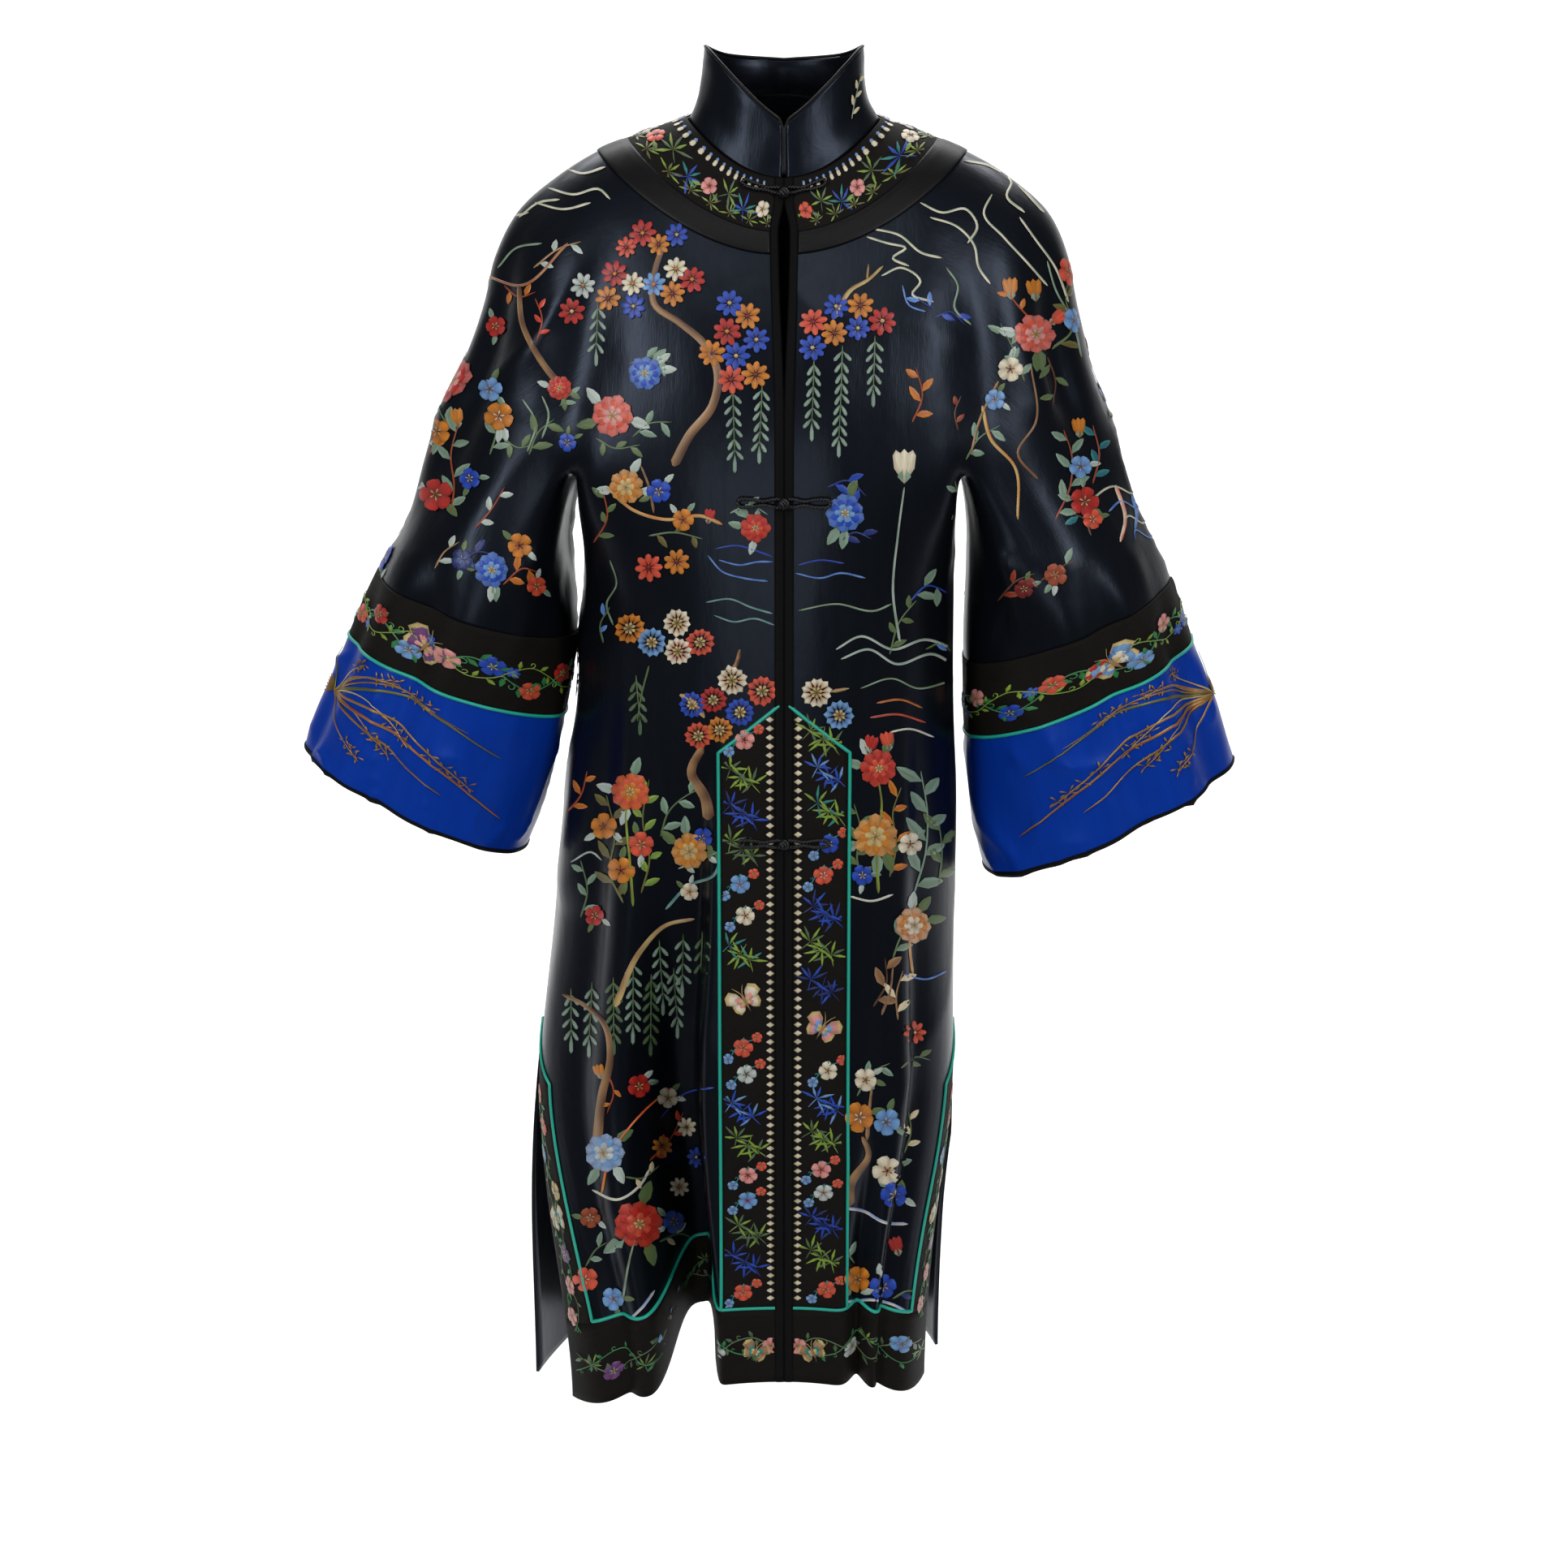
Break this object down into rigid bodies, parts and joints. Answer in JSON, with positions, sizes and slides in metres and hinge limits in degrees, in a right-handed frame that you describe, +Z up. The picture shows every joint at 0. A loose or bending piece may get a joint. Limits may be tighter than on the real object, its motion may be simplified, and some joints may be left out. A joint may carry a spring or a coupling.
{
  "type": "dressing gown",
  "caption": "Knee-length satin dressing gown with a stand collar, round yoke, wide cuffed sleeves, side slits and bordered front, shaped as worn and hollow.",
  "frame": {"origin": "the middle of the neck ring, level with the points where the shoulders meet the collar", "axes": "+Z up, as worn; the front faces -Y; +X is the left side as worn"},
  "size_m": [0.8262, 0.2812, 1.2246],
  "materials": {
    "satin": "black silk satin, embroidered",
    "embroidered": "matt black silk, closely embroidered",
    "cuff": "royal blue silk satin, embroidered",
    "piping": "teal braid",
    "binding": "black satin binding and cord"
  },
  "bodies": {
    "root": {"collar": "satin", "yoke_border": "satin", "front_right": "satin", "back_right": "satin", "sleeve_right": "satin", "front_left": "satin", "back_left": "satin", "sleeve_left": "satin", "yoke": "embroidered", "sleeve_band_right": "embroidered", "front_band_right": "embroidered", "border_front_right": "embroidered", "border_back_right": "embroidered", "sleeve_band_left": "embroidered", "front_band_left": "embroidered", "border_front_left": "embroidered", "border_back_left": "embroidered", "cuff_right": "cuff", "cuff_left": "cuff", "piping_front_right": "piping", "piping_back_right": "piping", "sleeve_piping_right": "piping", "piping_front_left": "piping", "piping_back_left": "piping", "sleeve_piping_left": "piping", "collar_binding": "binding", "front_binding_right": "binding", "cuff_binding_right": "binding", "front_binding_left": "binding", "cuff_binding_left": "binding", "frog_neck_right": "binding", "frog_neck_left": "binding", "frog_neck_knot": "binding", "frog_chest_right": "binding", "frog_chest_left": "binding", "frog_chest_knot": "binding", "frog_band_right": "binding", "frog_band_left": "binding", "frog_band_knot": "binding"}
  },
  "joints": []
}
